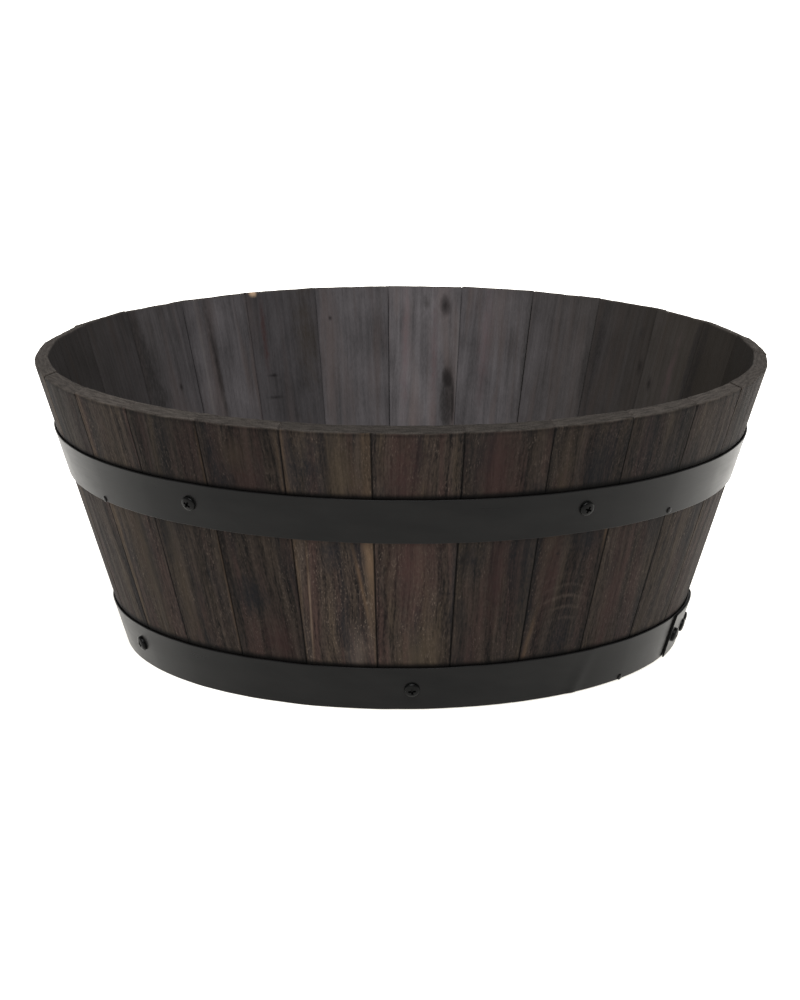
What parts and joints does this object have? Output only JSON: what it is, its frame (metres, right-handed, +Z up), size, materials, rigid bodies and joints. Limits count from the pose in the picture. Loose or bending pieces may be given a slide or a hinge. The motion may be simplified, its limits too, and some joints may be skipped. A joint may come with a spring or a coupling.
{
  "type": "wooden barrel planter",
  "caption": "Low tapered wooden barrel planter of flat staves held by black steel hoops, open at the top, with a drained board bottom.",
  "frame": {"origin": "centre of the base, on the ground plane under the stave feet", "axes": "+Z up; -Y towards the front that the picture shows; +X to the right seen from the front"},
  "size_m": [0.5001, 0.5007, 0.1989],
  "materials": {
    "stave_wood": "dark stained, open grain, worn edges, matt",
    "head_wood": "dark stained, matt, duller than the staves",
    "hoop_paint": "satin black paint on steel strip",
    "fastener_paint": "black, slightly glossier than the hoops",
    "zinc_screw": "dull zinc plate"
  },
  "bodies": {
    "root": {"stave_01": "stave_wood", "stave_02": "stave_wood", "stave_03": "stave_wood", "stave_04": "stave_wood", "stave_05": "stave_wood", "stave_06": "stave_wood", "stave_07": "stave_wood", "stave_08": "stave_wood", "stave_09": "stave_wood", "stave_10": "stave_wood", "stave_11": "stave_wood", "stave_12": "stave_wood", "stave_13": "stave_wood", "stave_14": "stave_wood", "stave_15": "stave_wood", "stave_16": "stave_wood", "stave_17": "stave_wood", "stave_18": "stave_wood", "stave_19": "stave_wood", "stave_20": "stave_wood", "stave_21": "stave_wood", "stave_22": "stave_wood", "stave_23": "stave_wood", "stave_24": "stave_wood", "stave_25": "stave_wood", "stave_26": "stave_wood", "stave_27": "stave_wood", "head_board_1": "head_wood", "head_board_2": "head_wood", "head_board_3": "head_wood", "head_board_4": "head_wood", "head_board_5": "head_wood", "left_batten": "head_wood", "right_batten": "head_wood", "batten_screws": "zinc_screw", "upper_hoop": "hoop_paint", "lower_hoop": "hoop_paint", "upper_hoop_screws": "fastener_paint", "lower_hoop_screws": "fastener_paint", "upper_lap_rivets": "fastener_paint", "lower_lap_rivets": "fastener_paint", "upper_hoop_nails": "fastener_paint", "lower_hoop_nails": "fastener_paint"}
  },
  "joints": []
}
